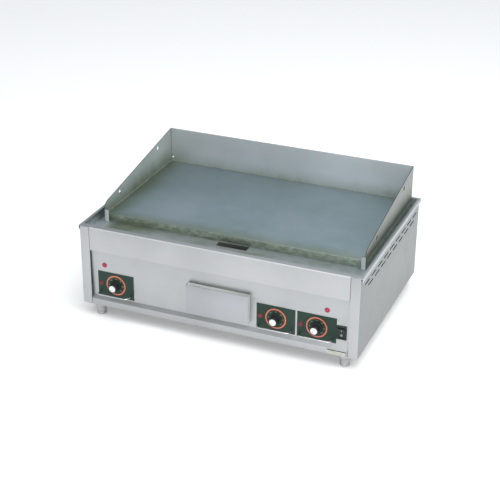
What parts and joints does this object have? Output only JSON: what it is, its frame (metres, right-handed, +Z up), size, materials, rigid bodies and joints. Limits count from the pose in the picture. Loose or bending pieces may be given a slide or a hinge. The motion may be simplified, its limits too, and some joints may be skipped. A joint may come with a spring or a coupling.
{
  "type": "flat top griddle",
  "caption": "Countertop electric griddle: stainless cabinet on levelling feet, thick steel plate in a sunken grease pan with a splash guard, dial controls and a grease drawer.",
  "frame": {"origin": "on the bench, under the middle of the griddle's bounding box", "axes": "+X to the right seen from the front, +Y from the front to the back, +Z up"},
  "size_m": [0.9, 0.6456, 0.415],
  "materials": {
    "cabinet_steel": "fine brushed stainless sheet",
    "pan_steel": "brushed stainless sheet",
    "guard_steel": "brushed stainless sheet",
    "inner_steel": "plain mill finish sheet",
    "griddle_steel": "ground steel, seasoned",
    "element_sheath": "oxidised sheath",
    "zinc_fasteners": "zinc plated",
    "insulation": "ceramic fibre board",
    "thermostat_case": "moulded",
    "copper": "drawn copper tube",
    "knob_black": "moulded, satin",
    "knob_cap": "gloss insert",
    "control_plate": "dark enamel, satin",
    "lamp_red": "translucent red",
    "bar_chrome": "polished",
    "switch_black": "moulded",
    "rating_plate": "printed blank",
    "foot_metal": "turned, satin"
  },
  "bodies": {
    "cabinet": {"base_pan": "inner_steel", "side_panel_left": "cabinet_steel", "side_panel_right": "cabinet_steel", "rear_panel": "cabinet_steel", "front_rail": "inner_steel", "front_fascia": "cabinet_steel", "control_panel": "cabinet_steel", "top_pan": "pan_steel", "drain_chute": "inner_steel", "griddle_plate": "griddle_steel", "plate_frame": "griddle_steel", "guard_back": "guard_steel", "guard_left": "guard_steel", "guard_right": "guard_steel", "element_1": "element_sheath", "element_2": "element_sheath", "element_3": "element_sheath", "element_clamps": "inner_steel", "plate_studs": "zinc_fasteners", "stud_nuts": "zinc_fasteners", "heat_tray": "inner_steel", "insulation_board": "insulation", "thermostat_1": "thermostat_case", "thermostat_2": "thermostat_case", "thermostat_3": "thermostat_case", "bush_nuts": "zinc_fasteners", "sensor_bulbs": "copper", "control_plate_1": "control_plate", "control_plate_2": "control_plate", "control_plate_3": "control_plate", "heater_lamps": "lamp_red", "power_lamps": "lamp_red", "guard_bar_1": "bar_chrome", "guard_bar_2": "bar_chrome", "guard_bar_3": "bar_chrome", "switch_case": "switch_black", "rating_plate": "rating_plate", "drawer_rail_left": "inner_steel", "drawer_rail_right": "inner_steel", "contactor": "thermostat_case", "terminal_block": "thermostat_case", "cable_gland": "switch_black", "foot_sockets": "foot_metal", "rear_screws": "zinc_fasteners"},
    "dial_1": {"shaft_1": "zinc_fasteners", "knob_1": "knob_black", "knob_cap_1": "knob_cap"},
    "dial_2": {"shaft_2": "zinc_fasteners", "knob_2": "knob_black", "knob_cap_2": "knob_cap"},
    "dial_3": {"shaft_3": "zinc_fasteners", "knob_3": "knob_black", "knob_cap_3": "knob_cap"},
    "power_rocker": {"switch_rocker": "switch_black"},
    "grease_drawer": {"drawer_front": "cabinet_steel", "drawer_pan": "inner_steel"},
    "levelling_foot_1": {"foot_1": "foot_metal"},
    "levelling_foot_2": {"foot_2": "foot_metal"},
    "levelling_foot_3": {"foot_3": "foot_metal"},
    "levelling_foot_4": {"foot_4": "foot_metal"}
  },
  "joints": [
    {"name": "dial_1_turn", "type": "hinge", "parent": "cabinet", "child": "dial_1", "pos_m": [-0.334, -0.3, 0.1185], "axis": [0, 1, 0], "range_deg": [0, 270]},
    {"name": "dial_2_turn", "type": "hinge", "parent": "cabinet", "child": "dial_2", "pos_m": [0.19, -0.3, 0.1185], "axis": [0, 1, 0], "range_deg": [0, 270]},
    {"name": "dial_3_turn", "type": "hinge", "parent": "cabinet", "child": "dial_3", "pos_m": [0.317, -0.3, 0.1185], "axis": [0, 1, 0], "range_deg": [0, 270]},
    {"name": "power_rock", "type": "hinge", "parent": "cabinet", "child": "power_rocker", "pos_m": [0.393, -0.29, 0.1165], "axis": [-1, 0, 0], "range_deg": [0, 15]},
    {"name": "drawer_slide", "type": "slide", "parent": "cabinet", "child": "grease_drawer", "axis": [0, -1, 0], "range_m": [0, 0.3]},
    {"name": "foot_1_thread", "type": "slide", "parent": "cabinet", "child": "levelling_foot_1", "axis": [0, 0, 1], "range_m": [0, 0.009]},
    {"name": "foot_2_thread", "type": "slide", "parent": "cabinet", "child": "levelling_foot_2", "axis": [0, 0, 1], "range_m": [0, 0.009]},
    {"name": "foot_3_thread", "type": "slide", "parent": "cabinet", "child": "levelling_foot_3", "axis": [0, 0, 1], "range_m": [0, 0.009]},
    {"name": "foot_4_thread", "type": "slide", "parent": "cabinet", "child": "levelling_foot_4", "axis": [0, 0, 1], "range_m": [0, 0.009]}
  ]
}
